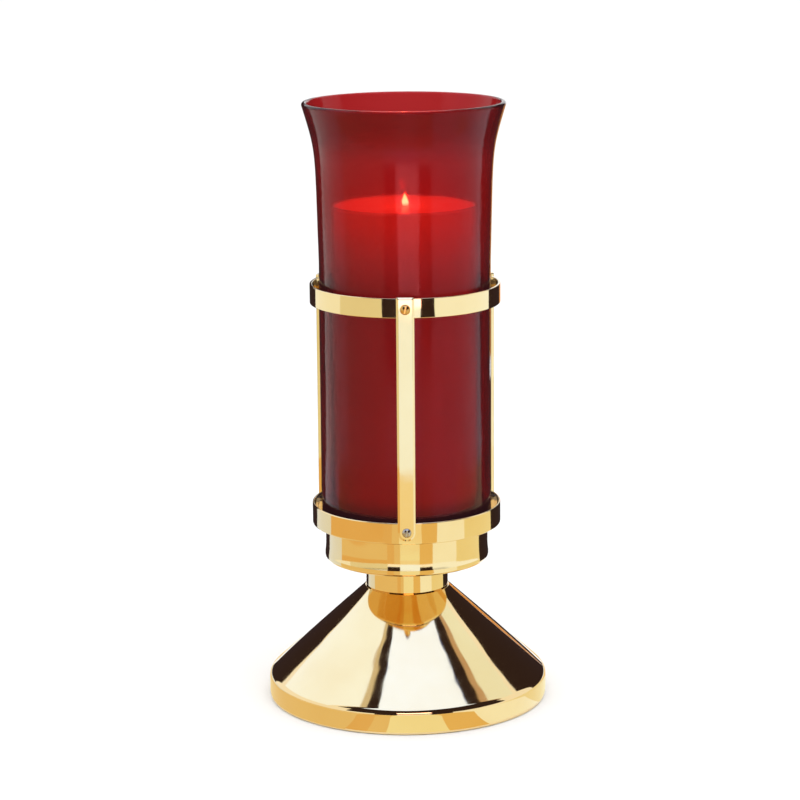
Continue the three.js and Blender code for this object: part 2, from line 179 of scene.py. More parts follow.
def rounded(corners, steps=6):
    """Swaps each (radius, height, rounding) corner for an arc tangent to both of its sides."""
    points = []
    for at, (across, up, rounding) in enumerate(corners):
        corner = Vector((across, up))
        if rounding == 0:
            points.append(corner)
            continue
        before = (Vector(corners[at - 1][:2]) - corner).normalized()
        after = (Vector(corners[(at + 1) % len(corners)][:2]) - corner).normalized()
        half = before.angle(after) / 2
        centre = corner + (before + after).normalized() * rounding / math.sin(half)
        start = corner + before * rounding / math.tan(half) - centre
        end = corner + after * rounding / math.tan(half) - centre
        sweep = math.pi - 2 * half
        for step in range(steps + 1):
            part = sweep * step / steps
            arm = start * math.sin(sweep - part) + end * math.sin(part)
            points.append(centre + arm / math.sin(sweep))
    return points


def skin(rings, closed=False):
    """Vertices and faces through rings of equal count; a ring of one point is a tip."""
    vertices = [point for ring in rings for point in ring]
    starts = [sum(len(ring) for ring in rings[:at]) for at in range(len(rings))]
    pairs = [(at, at + 1) for at in range(len(rings) - 1)]
    if closed:
        pairs.append((len(rings) - 1, 0))
    faces = []
    for low, high in pairs:
        a, b = starts[low], starts[high]
        count = max(len(rings[low]), len(rings[high]))
        for i in range(count):
            j = (i + 1) % count
            if len(rings[low]) == 1:
                faces.append((a, b + j, b + i))
            elif len(rings[high]) == 1:
                faces.append((a + i, a + j, b))
            else:
                faces.append((a + i, a + j, b + j, b + i))
    return vertices, faces


def circle(radius, height, sides):
    if radius == 0:
        return [Vector((0, 0, height))]
    return [
        Vector((radius * math.cos(angle), radius * math.sin(angle), height))
        for angle in (math.tau * side / sides for side in range(sides))
    ]


def mesh_object(name, vertices, faces):
    mesh = bpy.data.meshes.new(name)
    mesh.from_pydata(vertices, [], faces)
    mesh.update()
    made = bpy.data.objects.new(name, mesh)
    bpy.context.scene.collection.objects.link(made)
    return made


def turned(name, profile, sides=SIDES):
    """A turned solid; a profile that doesn't start on the axis is closed on itself and makes a ring."""
    rings = [circle(point[0], point[1], sides) for point in profile]
    return mesh_object(name, *skin(rings, closed=profile[0][0] > 0))


def carve(piece, cutters, operation="DIFFERENCE"):
    """Applies each cutter to the piece, merges vertices that all but meet, and removes the cutters."""
    for cutter in cutters:
        modifier = piece.modifiers.new("carve", "BOOLEAN")
        modifier.object = cutter
        modifier.operation = operation
        modifier.solver = "EXACT"
    graph = bpy.context.evaluated_depsgraph_get()
    carved = bpy.data.meshes.new_from_object(piece.evaluated_get(graph))
    shape = bmesh.new()
    shape.from_mesh(carved)
    bmesh.ops.remove_doubles(shape, verts=shape.verts, dist=MERGE)
    shape.to_mesh(carved)
    shape.free()
    piece.modifiers.clear()
    piece.data = carved
    for cutter in cutters:
        bpy.data.objects.remove(cutter)


def move(piece, *matrices):
    """Moves the piece's own vertices by each matrix in turn."""
    for matrix in matrices:
        piece.data.transform(matrix)


def shift(x=0, y=0, z=0):
    return Matrix.Translation((x, y, z))


def spin(degrees, axis):
    return Matrix.Rotation(math.radians(degrees), 4, axis)


def box(name, width, depth, height):
    """A closed block about the origin, used as a cutter."""
    corners = ((1, -1), (1, 1), (-1, 1), (-1, -1))
    rings = [
        [Vector((x * width / 2, y * depth / 2, z * height / 2)) for x, y in corners]
        for z in (-1, 1)
    ]
    vertices, faces = skin(rings)
    return mesh_object(name, vertices, faces + [(3, 2, 1, 0), (4, 5, 6, 7)])


# ---- how a piece stands for its CAD node ----

body_of_node = {
    node: body for body, nodes in frame["record"]["behaviour"]["bodies"].items() for node in nodes
}
outer = {node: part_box(node)[1].x for node in frame["nodes"]}
bottom = {node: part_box(node)[0].z for node in frame["nodes"]}
top = {node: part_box(node)[1].z for node in frame["nodes"]}


def smooth(piece, sharp_degrees=35):
    """Smooth shading that keeps flat faces flat and sharp edges sharp."""
    mesh = piece.data
    mesh.polygons.foreach_set("use_smooth", [True] * len(mesh.polygons))
    mesh.set_sharp_from_angle(angle=math.radians(sharp_degrees))
    weighted = piece.modifiers.new("weighted_normals", "WEIGHTED_NORMAL")
    weighted.keep_sharp = True


def stand_for(node, piece, material):
    """Puts the piece in the CAD node's place."""
    smooth(piece)
    piece.data.materials.clear()
    piece.data.materials.append(material)
    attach(piece, body_of_node[node])
    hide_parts(node)


# ---- material helpers ----


def new_node(tree, kind, inputs=None, **settings):
    """A shader node; each input is a value, or a socket to link."""
    made = tree.nodes.new(kind)
    for name, value in settings.items():
        setattr(made, name, value)
    for name, value in (inputs or {}).items():
        if isinstance(value, bpy.types.NodeSocket):
            tree.links.new(value, made.inputs[name])
        else:
            made.inputs[name].default_value = value
    return made


def principled(name, **values):
    """A material with one Principled shader; in the values' names an underscore stands for a space."""
    material = bpy.data.materials.new(name)
    material.use_nodes = True
    shader = material.node_tree.nodes["Principled BSDF"]
    for socket, value in values.items():
        shader.inputs[socket.replace("_", " ")].default_value = value
    return material, material.node_tree, shader


def feed(tree, shader, **values):
    """Links each value to the shader's socket of that name, with spaces for underscores."""
    for socket, value in values.items():
        tree.links.new(value, shader.inputs[socket.replace("_", " ")])


def emitter(name):
    """A material that only emits, once emit has given it light."""
    material = bpy.data.materials.new(name)
    material.use_nodes = True
    tree = material.node_tree
    tree.nodes.remove(tree.nodes["Principled BSDF"])
    return material, tree


def emit(tree, color, strength):
    emission = new_node(tree, "ShaderNodeEmission", {"Color": color, "Strength": strength})
    tree.links.new(emission.outputs["Emission"], tree.nodes["Material Output"].inputs["Surface"])


def object_position(tree):
    return new_node(tree, "ShaderNodeTexCoord").outputs["Object"]


def scaled(tree, vector, scale):
    mapping = new_node(tree, "ShaderNodeMapping", {"Vector": vector})
    mapping.inputs["Scale"].default_value = scale
    return mapping.outputs["Vector"]


def noise_value(tree, vector, scale, detail=3.0):
    inputs = {"Vector": vector, "Scale": scale, "Detail": detail}
    return new_node(tree, "ShaderNodeTexNoise", inputs).outputs["Fac"]


def ranged(tree, value, low, high, start=0.3, end=0.7):
    """The value's start..end stretched to low..high."""
    inputs = {"Value": value, "From Min": start, "From Max": end, "To Min": low, "To Max": high}
    return new_node(tree, "ShaderNodeMapRange", inputs).outputs["Result"]


def mixed(tree, factor, first, second):
    """The first colour at factor 0, the second at 1; the Mix node's colour sockets are 6, 7 and 2."""
    inputs = {"Factor": factor, 6: first, 7: second}
    return new_node(tree, "ShaderNodeMix", inputs, data_type="RGBA").outputs[2]


def bumped(tree, shader, *layers):
    """Bumps of (height, distance), each laid over the one before."""
    normal = None
    for height, distance in layers:
        inputs = {"Height": height, "Distance": distance, "Strength": 1.0}
        bump = new_node(tree, "ShaderNodeBump", inputs)
        if normal:
            tree.links.new(normal, bump.inputs["Normal"])
        normal = bump.outputs["Normal"]
    tree.links.new(normal, shader.inputs["Normal"])


def height_of(tree):
    parts = new_node(tree, "ShaderNodeSeparateXYZ", {"Vector": object_position(tree)})
    return parts.outputs["Z"]


def round_position(tree):
    """(distance from the lamp's axis, height, 0), so that a texture runs round the axis."""
    parts = new_node(tree, "ShaderNodeSeparateXYZ", {"Vector": object_position(tree)})
    flat = new_node(tree, "ShaderNodeCombineXYZ", {"X": parts.outputs["X"], "Y": parts.outputs["Y"]})
    reach = new_node(tree, "ShaderNodeVectorMath", {0: flat.outputs["Vector"]}, operation="LENGTH")
    inputs = {"X": reach.outputs["Value"], "Y": parts.outputs["Z"]}
    return new_node(tree, "ShaderNodeCombineXYZ", inputs).outputs["Vector"]


def glow(tree, centre, reach):
    """1 at the centre, falling to 0 at the given distance."""
    inputs = {0: object_position(tree), 1: centre}
    away = new_node(tree, "ShaderNodeVectorMath", inputs, operation="DISTANCE").outputs["Value"]
    return ranged(tree, away, 1.0, 0.0, 0.0, reach)


# ---- materials ----

BRASS_COLOR = (0.86, 0.66, 0.33, 1)
BRASS_DEEP_COLOR = (0.83, 0.61, 0.28, 1)


def brass(name, grain):
    """Lacquered, mirror-polished brass; its faint lines run round the axis or along the bar."""
    material, tree, shader = principled(name, Metallic=1.0, Coat_Weight=1.0, Coat_Roughness=0.03)
    shader.inputs["Coat IOR"].default_value = 1.5
    position = object_position(tree)
    if grain == "turned":
        lines = noise_value(tree, round_position(tree), 4200, 2)
    else:
        lines = noise_value(tree, scaled(tree, position, (1, 1, 0.02)), 3600, 2)
    clouds = noise_value(tree, position, 26, 4)
    smears = noise_value(tree, scaled(tree, position, (1, 1, 2.5)), 90, 5)
    color = mixed(tree, ranged(tree, clouds, 0, 1), BRASS_COLOR, BRASS_DEEP_COLOR)
    feed(tree, shader, Base_Color=color, Roughness=ranged(tree, smears, 0.035, 0.075))
    ripples = noise_value(tree, position, 34, 1)
    bumped(tree, shader, (ripples, 0.0004), (lines, 0.0000012))
    return material


METAL_DULL = 0.72  # a dull patch's share of the metal's colour


def plain_metal(name, color, roughness, marks_scale):
    """Bare metal with fine marks and dull patches, for rod, washers, nuts and screws."""
    material, tree, shader = principled(name, Metallic=1.0)
    position = object_position(tree)
    marks = noise_value(tree, position, marks_scale, 4)
    clouds = noise_value(tree, position, 160, 3)
    dull = tuple(part * METAL_DULL for part in color[:3]) + (1,)
    patches = mixed(tree, ranged(tree, clouds, 0, 1), color, dull)
    scratches = ranged(tree, marks, roughness * 0.7, roughness * 1.5)
    feed(tree, shader, Base_Color=patches, Roughness=scratches)
    bumped(tree, shader, (marks, 0.00001))
    return material


IRON_COLOR = (0.035, 0.032, 0.03, 1)
IRON_RUST_COLOR = (0.12, 0.05, 0.025, 1)


def cast_iron():
    """Sand-cast iron with a few rusty patches."""
    material, tree, shader = principled("cast_iron", Metallic=0.7)
    position = object_position(tree)
    sand = noise_value(tree, position, 900, 6)
    rust = noise_value(tree, position, 40, 5)
    color = mixed(tree, ranged(tree, rust, 0, 1, 0.5, 0.75), IRON_COLOR, IRON_RUST_COLOR)
    feed(tree, shader, Base_Color=color, Roughness=ranged(tree, sand, 0.6, 0.9))
    bumped(tree, shader, (sand, 0.0003))
    return material


FELT_COLOR = (0.012, 0.06, 0.028, 1)
FELT_LIGHT_COLOR = (0.022, 0.1, 0.045, 1)


def felt():
    """Green felt, matted in patches."""
    material, tree, shader = principled("felt", Sheen_Weight=0.6, Sheen_Roughness=0.5, Roughness=1.0)
    position = object_position(tree)
    fibres = noise_value(tree, scaled(tree, position, (1, 0.25, 1)), 2200, 6)
    matted = noise_value(tree, position, 220, 4)
    color = mixed(tree, ranged(tree, matted, 0, 1), FELT_COLOR, FELT_LIGHT_COLOR)
    feed(tree, shader, Base_Color=color)
    bumped(tree, shader, (fibres, 0.0004))
    return material


CLEAR = (1, 1, 1, 1)
RUBY_ABSORPTION = (0.81, 0.03, 0.05, 1)
RUBY_DENSITY = 1180.0
RUBY_SPECULAR_TINT = (0.85, 0.4, 0.44, 1)
RUBY_RIM = (0.348, 0.358)  # heights between which the glass gets darker
RUBY_RIM_COLOR = (0.77, 0.6, 0.6, 1)
RUBY_GLOW_REACH = 0.075
RUBY_GLOW_RANGE = (0.05, 0.3)  # of the glow, between which the near colour and strength take over
RUBY_GLOW_COLORS = ((1, 0.33, 0.4, 1), (1, 0.05, 0.05, 1))  # painted glow: faint far from the flame, lifting the glass's darkest parts; red near it, for the candle's light
RUBY_GLOW_STRENGTHS = (0.018, 0.06)


def ruby_glass(flame_place):
    """Glass whose colour comes from its thickness, faintly wavy, with a painted glow: faint all over and
    stronger near the candle inside, as if lit by it.

    It is a shade darker towards its rim.
    """
    material, tree, shader = principled("ruby_glass", Transmission_Weight=1.0, IOR=1.32)
    shader.inputs["Specular Tint"].default_value = RUBY_SPECULAR_TINT
    # painted glow, standing in for light in the glass: faint all over, stronger and redder near the flame
    near = ranged(tree, glow(tree, flame_place, RUBY_GLOW_REACH), 0, 1, *RUBY_GLOW_RANGE)
    glow_color = mixed(tree, near, *RUBY_GLOW_COLORS)
    glow_strength = ranged(tree, near, *RUBY_GLOW_STRENGTHS, 0, 1)
    feed(tree, shader, Emission_Color=glow_color, Emission_Strength=glow_strength)
    position = object_position(tree)
    rim = ranged(tree, height_of(tree), 0, 1, *RUBY_RIM)
    waves = noise_value(tree, scaled(tree, position, (1, 1, 0.35)), 30, 2)
    film = noise_value(tree, position, 60, 4)
    color = mixed(tree, rim, CLEAR, RUBY_RIM_COLOR)
    feed(tree, shader, Base_Color=color, Roughness=ranged(tree, film, 0.08, 0.12))
    bumped(tree, shader, (waves, 0.0009))
    inputs = {"Color": RUBY_ABSORPTION, "Density": RUBY_DENSITY}
    volume = new_node(tree, "ShaderNodeVolumeAbsorption", inputs)
    feed(tree, tree.nodes["Material Output"], Volume=volume.outputs["Volume"])
    return material


WAX_COLOR = (0.88, 0.8, 0.66, 1)
WAX_CLOUD_COLOR = (0.8, 0.7, 0.54, 1)
WAX_GLOW_COLOR = (1, 0.34, 0.1, 1)
WAX_GLOW_COLOR_NEAR = (1, 0.42, 0.14, 1)
WAX_GLOW_REACH = 0.085
WAX_GLOW_POWER = 4.5
WAX_GLOW_FULL = 0.058  # where the curve is as high as this, the glow is at its strongest
WAX_GLOW_STRENGTH = 1.05
WAX_SIDE_LIT_STRENGTHS = (0.21, 0.45)  # painted glow away from the flame, at the wax's left and right; stronger at the right, as if lit from that side
WAX_SIDE_LIT_X = (-0.04, 0.04)  # X of those two
WAX_SHADED_FOOT = (0.1305, 0.137)  # heights over which the painted glow fades in; below them the foot is left in shade
WAX_FOOT_SHARE = 0.4  # of the painted glow that is left at the very foot


def wax(flame_place):
    """Cream wax with a painted glow round the flame, for the light that scatters through wax, painted
    lighter on its right side.
    """
    material, tree, shader = principled("wax", IOR=1.44)
    position = object_position(tree)
    crystals = noise_value(tree, position, 420, 5)
    clouds = noise_value(tree, position, 45, 3)
    color = mixed(tree, ranged(tree, clouds, 0, 1), WAX_COLOR, WAX_CLOUD_COLOR)
    feed(tree, shader, Base_Color=color, Roughness=ranged(tree, crystals, 0.25, 0.5))
    near = glow(tree, flame_place, WAX_GLOW_REACH)
    warm = mixed(tree, near, WAX_GLOW_COLOR, WAX_GLOW_COLOR_NEAR)
    curve = new_node(tree, "ShaderNodeMath", {0: near, 1: WAX_GLOW_POWER}, operation="POWER")
    parts = new_node(tree, "ShaderNodeSeparateXYZ", {"Vector": position})
    # painted light from the right: away from the flame the glow is stronger on the wax's right side
    dim = ranged(tree, parts.outputs["X"], *WAX_SIDE_LIT_STRENGTHS, *WAX_SIDE_LIT_X)
    strength = ranged(tree, curve.outputs["Value"], dim, WAX_GLOW_STRENGTH, 0, WAX_GLOW_FULL)
    # painted shade at the foot: the glow fades out towards the wax's foot
    lit = ranged(tree, parts.outputs["Z"], WAX_FOOT_SHARE, 1, *WAX_SHADED_FOOT)
    faded = new_node(tree, "ShaderNodeMath", {0: strength, 1: lit}, operation="MULTIPLY")
    feed(tree, shader, Emission_Color=warm, Emission_Strength=faded.outputs["Value"])
    bumped(tree, shader, (crystals, 0.00003))
    return material


CONTAINER_COLOR = (0.96, 0.95, 0.93, 1)
CONTAINER_FLOW_COLOR = (0.9, 0.88, 0.84, 1)
CONTAINER_GLOW_COLOR = (1, 0.38, 0.12, 1)
CONTAINER_GLOW_REACH = 0.11
CONTAINER_GLOW_STRENGTH = 0.1
CONTAINER_GLOW_START = 0.3


def container_plastic(flame_place):
    """Thin frosted plastic with a little painted glow near the flame, picked up from the wax's glow."""
    material, tree, shader = principled("container_plastic", Transmission_Weight=0.9, IOR=1.46)
    shader.inputs["Emission Color"].default_value = CONTAINER_GLOW_COLOR
    # painted glow, strongest near the flame
    near = glow(tree, flame_place, CONTAINER_GLOW_REACH)
    strength = ranged(tree, near, 0.0, CONTAINER_GLOW_STRENGTH, CONTAINER_GLOW_START, 1)
    feed(tree, shader, Emission_Strength=strength)
    position = object_position(tree)
    flow = noise_value(tree, scaled(tree, position, (1, 1, 0.1)), 120, 4)
    color = mixed(tree, ranged(tree, flow, 0, 1), CONTAINER_COLOR, CONTAINER_FLOW_COLOR)
    feed(tree, shader, Base_Color=color, Roughness=ranged(tree, flow, 0.05, 0.16))
    bumped(tree, shader, (flow, 0.00002))
    return material


COTTON_COLOR = (0.62, 0.5, 0.33, 1)
CHAR_COLOR = (0.012, 0.01, 0.009, 1)
CHAR_HEIGHTS = (WAX_POOL_TOP + 0.0002, WAX_POOL_TOP + 0.0015)  # cotton below, char above


def wick_cotton():
    material, tree, shader = principled("wick_cotton", Roughness=0.95)
    fibres = noise_value(tree, scaled(tree, object_position(tree), (1, 1, 0.3)), 5200, 4)
    burnt = ranged(tree, height_of(tree), 0, 1, *CHAR_HEIGHTS)
    color = mixed(tree, burnt, COTTON_COLOR, CHAR_COLOR)
    feed(tree, shader, Base_Color=color)
    bumped(tree, shader, (fibres, 0.0002))
    return material


FLAME_ROOT_COLOR = (0.25, 0.1, 0.05, 1)
FLAME_HEART_COLOR = (1, 0.93, 0.38, 1)
FLAME_TIP_COLOR = (1, 0.77, 0.22, 1)
FLAME_HEART = 0.35  # how far up it is
FLAME_STRENGTH = 58.0


def flame_light(low, high):
    """Emission that runs from a dim root through a yellow heart to a golden tip."""
    material, tree = emitter("flame")
    ramp = new_node(tree, "ShaderNodeValToRGB", {"Fac": ranged(tree, height_of(tree), 0, 1, low, high)})
    stops = ramp.color_ramp.elements
    stops[0].color = FLAME_ROOT_COLOR
    stops[1].color = FLAME_TIP_COLOR
    stops.new(FLAME_HEART).color = FLAME_HEART_COLOR
    emit(tree, ramp.outputs["Color"], FLAME_STRENGTH)
    return material


turned_brass = brass("turned_brass", "turned")
drawn_brass = brass("drawn_brass", "drawn")
zinc_steel = plain_metal("zinc_steel", (0.62, 0.6, 0.56, 1), 0.22, 700)
nickel_steel = plain_metal("nickel_steel", (0.5, 0.43, 0.35, 1), 0.2, 1400)
screw_brass = plain_metal("screw_brass", (0.66, 0.38, 0.11, 1), 0.2, 1400)

# ---- base ----

base_radius = outer["base_shell"]
cone_top = top["base_shell"]
cone_slope = (cone_top - RIM_TOP) / (base_radius - CONE_TOP_RADIUS)
cone_drop = SHEET * math.hypot(1, cone_slope)  # height between the cone's two faces


def cone_height(radius):
    return RIM_TOP + (base_radius - radius) * cone_slope


def cone_radius(height):
    return base_radius - (height - RIM_TOP) / cone_slope


def make_base_shell():
    inner = base_radius - SHEET
    under = cone_top - SHEET
    profile = rounded([
        (base_radius, bottom["base_shell"], CREASE),
        (base_radius, RIM_TOP, RIM_SHOULDER),
        (CONE_TOP_RADIUS, cone_top, EASED_EDGE),
        (ROD_HOLE, cone_top, CREASE),
        (ROD_HOLE, under, CREASE),
        (cone_radius(under + cone_drop), under, CREASE),
        (inner, cone_height(inner) - cone_drop, CREASE),
        (inner, bottom["base_shell"], CREASE),
    ])
    stand_for("base_shell", turned("base_spinning", profile), turned_brass)


def make_base_felt():
    radius, low, high = outer["base_felt"], bottom["base_felt"], top["base_felt"]
    profile = rounded([(0, low, 0), (radius, low, ROUND_EDGE), (radius, high, SOFT_EDGE), (0, high, 0)])
    stand_for("base_felt", turned("base_pad", profile), felt())


def make_base_weight():
    radius, low = outer["base_weight"], bottom["base_weight"]
    clearance = cone_drop + GAP * math.hypot(1, cone_slope)
    shoulder = cone_height(WEIGHT_SHOULDER_RADIUS) - clearance
    profile = rounded([
        (radius, low, CAST_EDGE),
        (radius, cone_height(radius) - clearance, CAST_EDGE),
        (WEIGHT_SHOULDER_RADIUS, shoulder, CAST_EDGE),
        (WEIGHT_DISH_RADIUS, shoulder, WEIGHT_DISH_EDGE),
        (WEIGHT_DISH_FOOT_RADIUS, WEIGHT_WEB_TOP, WEIGHT_DISH_FILLET),
        (WEIGHT_HUB_RADIUS, WEIGHT_WEB_TOP, WEIGHT_HUB_FILLET),
        (WEIGHT_HUB_TOP_RADIUS, WEIGHT_HUB_TOP, CAST_EDGE),
        (ROD_HOLE, WEIGHT_HUB_TOP, EASED_EDGE),
        (ROD_HOLE, WEIGHT_RECESS_TOP, EASED_EDGE),
        (WEIGHT_RECESS_RADIUS, WEIGHT_RECESS_TOP, CAST_EDGE),
        (WEIGHT_RECESS_RADIUS, low, CAST_EDGE),
    ])
    stand_for("base_weight", turned("base_casting", profile), cast_iron())


# ---- collar and cup ----


def make_neck_collar():
    radius, low, high = outer["neck_collar"], bottom["neck_collar"], top["neck_collar"]
    inner = radius - COLLAR_WALL
    profile = rounded([
        (radius - COLLAR_CHAMFER, low, COLLAR_FOOT_EDGE),
        (radius, low + COLLAR_CHAMFER, SOFT_EDGE),
        (radius, high, EDGE),
        (ROD_HOLE, high, CREASE),
        (ROD_HOLE, high - COLLAR_WALL, CREASE),
        (inner, high - COLLAR_WALL, CREASE),
        (inner, low, CREASE),
    ])
    stand_for("neck_collar", turned("neck_tube", profile), turned_brass)


def screw_drill(level, azimuth):
    """A cutter from the axis outwards, at one level's screw height."""
    height = (bottom[f"{level}_screw_front"] + top[f"{level}_screw_front"]) / 2
    radius = SHANK_RADII[level] + GAP
    drill = turned("drill", [(0, 0), (radius, 0), (radius, base_radius), (0, base_radius)], SMALL_SIDES)
    move(drill, spin(90, "X"), shift(z=height), spin(azimuth, "Z"))
    return drill


def screw_drills(level):
    return [screw_drill(level, azimuth) for azimuth in UPRIGHT_AZIMUTHS.values()]


def make_holder_cup():
    flange, low, high = outer["holder_cup"], bottom["holder_cup"], top["holder_cup"]
    ledge = FLANGE_BOTTOM + SHEET
    profile = rounded([
        (ROD_HOLE, low, CREASE),
        (WELL_FOOT_RADIUS, low, WELL_CORNER),
        (WELL_FOOT_RADIUS, WELL_FOOT_RIM, WELL_FOOT_RIM_BEND),
        (WELL_RADIUS, WELL_FOOT_BEND, WELL_FOOT_SWELL),
        (WELL_RADIUS, FLANGE_BOTTOM, SOFT_EDGE),
        (flange, FLANGE_BOTTOM, FLANGE_CORNER),
        (flange, high, FLANGE_LIP),
        (flange - SHEET, high, FLANGE_LIP),
        (flange - SHEET, ledge, CREASE),
        (WELL_RADIUS - SHEET, ledge, ROUND_EDGE),
        (WELL_RADIUS - SHEET, WELL_FOOT_BEND, WELL_FOOT_SWELL),
        (WELL_FOOT_RADIUS - SHEET, WELL_FOOT_RIM, WELL_FOOT_RIM_BEND),
        (WELL_FOOT_RADIUS - SHEET, low + SHEET, WELL_CORNER - SHEET),
        (ROD_HOLE, low + SHEET, CREASE),
    ], steps=8)
    cup = turned("cup_spinning", profile)
    carve(cup, screw_drills("foot"))
    stand_for("holder_cup", cup, turned_brass)


# ---- cage ----


def make_globe_ring():
    radius, low, high = outer["globe_ring"], bottom["globe_ring"], top["globe_ring"]
    inner = radius - RING_THICKNESS
    corners = [(radius, low), (radius, high), (inner, high), (inner, low)]
    ring = turned("ring_band", rounded([(*corner, RING_EDGE) for corner in corners]))
    carve(ring, screw_drills("top"))
    stand_for("globe_ring", ring, turned_brass)


def bar_outline(inset, half, foot, tip, depth):
    """The bar's outline drawn in by inset: round about its foot screw, corners eased at the tip."""
    reach = half - inset
    corner = max(UPRIGHT_CORNER - inset * UPRIGHT_CORNER_TAPER, EDGE)
    shoulder = tip - inset - corner
    points = []
    for step in range(UPRIGHT_ARC_STEPS + 1):
        angle = math.pi + math.pi * step / UPRIGHT_ARC_STEPS
        points.append((reach * math.cos(angle), foot + reach * math.sin(angle)))
    for centre, start in ((reach - corner, 0), (corner - reach, 90)):
        for step in range(UPRIGHT_CORNER_STEPS + 1):
            angle = math.radians(start + 90 * step / UPRIGHT_CORNER_STEPS)
            points.append((centre + corner * math.cos(angle), shoulder + corner * math.sin(angle)))
    return [Vector((across, -depth, up)) for across, up in points]


def make_upright(side, azimuth):
    """A flat bar, made as the front one and turned to its azimuth."""
    low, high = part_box("upright_front")
    half = high.x
    back, face = -high.y, -low.y
    section = rounded([
        (half * UPRIGHT_FLAT, back, 0),
        (0, back, SOFT_EDGE),
        (0, face - UPRIGHT_BEVEL_DEPTH, SOFT_EDGE),
        (UPRIGHT_BEVEL, face, EASED_EDGE),
        (half * UPRIGHT_FLAT, face, 0),
    ], steps=4)
    rings = [bar_outline(inset, half, low.z + half, high.z, depth) for inset, depth in section]
    vertices, faces = skin(rings)
    count = len(rings[0])
    faces.append(tuple(reversed(range(count))))
    faces.append(tuple(range(len(vertices) - count, len(vertices))))
    bar = mesh_object(f"bar_{side}", vertices, faces)
    carve(bar, [screw_drill(level, 0) for level in ("top", "foot")])
    move(bar, spin(azimuth, "Z"))
    stand_for(f"upright_{side}", bar, drawn_brass)


# ---- screws, nuts and the centre rod ----


def threaded(name, radius, pitch, length, sides, head=()):
    """A threaded shank on z = 0, chamfered at its free ends; head is a profile put on top of it."""
    depth = pitch * THREAD_DEPTH
    taper = radius * THREAD_TAPER
    rows = round(length / pitch * THREAD_ROWS)
    rings = [circle(0, 0, sides), circle(radius - depth - taper, 0, sides)]
    for row in range(1, rows):
        height = length * row / rows
        from_end = height if head else min(height, length - height)
        ease = min(from_end, taper * 2) / (taper * 2)
        ring = []
        for side in range(sides):
            angle = math.tau * side / sides
            turn = (height / pitch - side / sides) % 1
            groove = depth * abs(2 * turn - 1)
            reach = radius - (groove + (1 - ease) * taper)
            ring.append(Vector((reach * math.cos(angle), reach * math.sin(angle), height)))
        rings.append(ring)
    if head:
        rings.extend(circle(point[0], point[1], sides) for point in head)
    else:
        rings.extend([circle(radius - depth - taper, length, sides), circle(0, length, sides)])
    return mesh_object(name, *skin(rings))


def make_screw(level, side, azimuth, material):
    """A slotted round-head screw, made along Z and laid outwards at its upright's azimuth."""
    node = f"{level}_screw_{side}"
    low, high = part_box(f"{level}_screw_front")
    head_radius = high.x
    head_height = HEAD_HEIGHTS[level]
    length = high.y - low.y - head_height
    dome = (head_radius ** 2 + head_height ** 2) / (2 * head_height)  # radius of the round top
    head = [(SHANK_RADII[level], length), (head_radius - HEAD_UNDERCUT, length)]
    edge = math.asin((dome - head_height) / dome)
    for step in range(DOME_STEPS + 1):
        angle = edge + (math.pi / 2 - edge) * step / DOME_STEPS
        reach = dome * math.cos(angle) if step < DOME_STEPS else 0
        head.append((reach, length + head_height - dome + dome * math.sin(angle)))
    screw = threaded(f"screw_{level}_{side}", SHANK_RADII[level], SCREW_PITCH, length, SMALL_SIDES, head)
    slot = box("slot", SLOT_WIDTH, head_radius * 3, SLOT_DEPTH * 2)  # longer than the head is wide
    move(slot, shift(z=length + head_height), spin(SLOT_TURNS[side], "Z"))
    carve(screw, [slot])
    centre = (low.z + high.z) / 2
    move(screw, spin(90, "X"), shift(y=high.y, z=centre), spin(azimuth, "Z"))
    stand_for(node, screw, material)


def hexagon_nut(name, flats, thickness, hole):
    """A nut from z = 0 up: a hexagon whose corners are turned off at both ends."""
    corner = flats / 2 / math.cos(math.pi / 6)
    past = thickness * NUT_PAST
    end = thickness + past
    nut = turned(name, [(0, -past), (corner, -past), (corner, end), (0, end)], 6)
    reach = corner + past
    face = flats / 2 * NUT_FACE
    drop = (reach - face) * NUT_CHAMFER
    turned_off = turned("turning", [
        (hole, 0),
        (face, 0),
        (reach, drop),
        (reach, thickness - drop),
        (face, thickness),
        (hole, thickness),
    ], SMALL_SIDES)
    carve(nut, [turned_off], "INTERSECT")
    return nut


def make_wall_nut(level, side, azimuth, material):
    low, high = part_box(f"{level}_nut_front")
    nut = hexagon_nut(f"nut_{level}_{side}", NUT_FLATS, NUT_THICKNESS, SHANK_RADII[level] + GAP)
    move(nut, spin(90, "X"), shift(y=high.y, z=(low.z + high.z) / 2), spin(azimuth, "Z"))
    stand_for(f"{level}_nut_{side}", nut, material)


def make_centre_fixing():
    length = top["centre_rod"] - bottom["centre_rod"]
    rod = threaded("threaded_rod", ROD_RADIUS, ROD_PITCH, length, SMALL_SIDES)
    move(rod, shift(z=bottom["centre_rod"]))
    stand_for("centre_rod", rod, zinc_steel)
    for place in ("base", "cup"):
        washer, nut = f"{place}_washer", f"{place}_nut"
        corners = [
            (outer[washer], bottom[washer]),
            (outer[washer], top[washer]),
            (ROD_HOLE, top[washer]),
            (ROD_HOLE, bottom[washer]),
        ]
        profile = rounded([(*corner, SOFT_EDGE) for corner in corners])
        stand_for(washer, turned(f"washer_{place}", profile), zinc_steel)
        big_nut = hexagon_nut(f"nut_{place}", ROD_NUT_FLATS, top[nut] - bottom[nut], ROD_HOLE)
        move(big_nut, shift(z=bottom[nut]))
        stand_for(nut, big_nut, zinc_steel)


# ---- globe ----


def bezier(points, along):
    """Place and direction on a cubic curve."""
    start, first, second, end = (Vector(point) for point in points)
    back = 1 - along
    place = (
        start * back ** 3
        + first * 3 * back ** 2 * along
        + second * 3 * back * along ** 2
        + end * along ** 3
    )
    heading = (
        (first - start) * back ** 2
        + (second - first) * 2 * back * along
        + (end - second) * along ** 2
    )
    return place, heading.normalized()


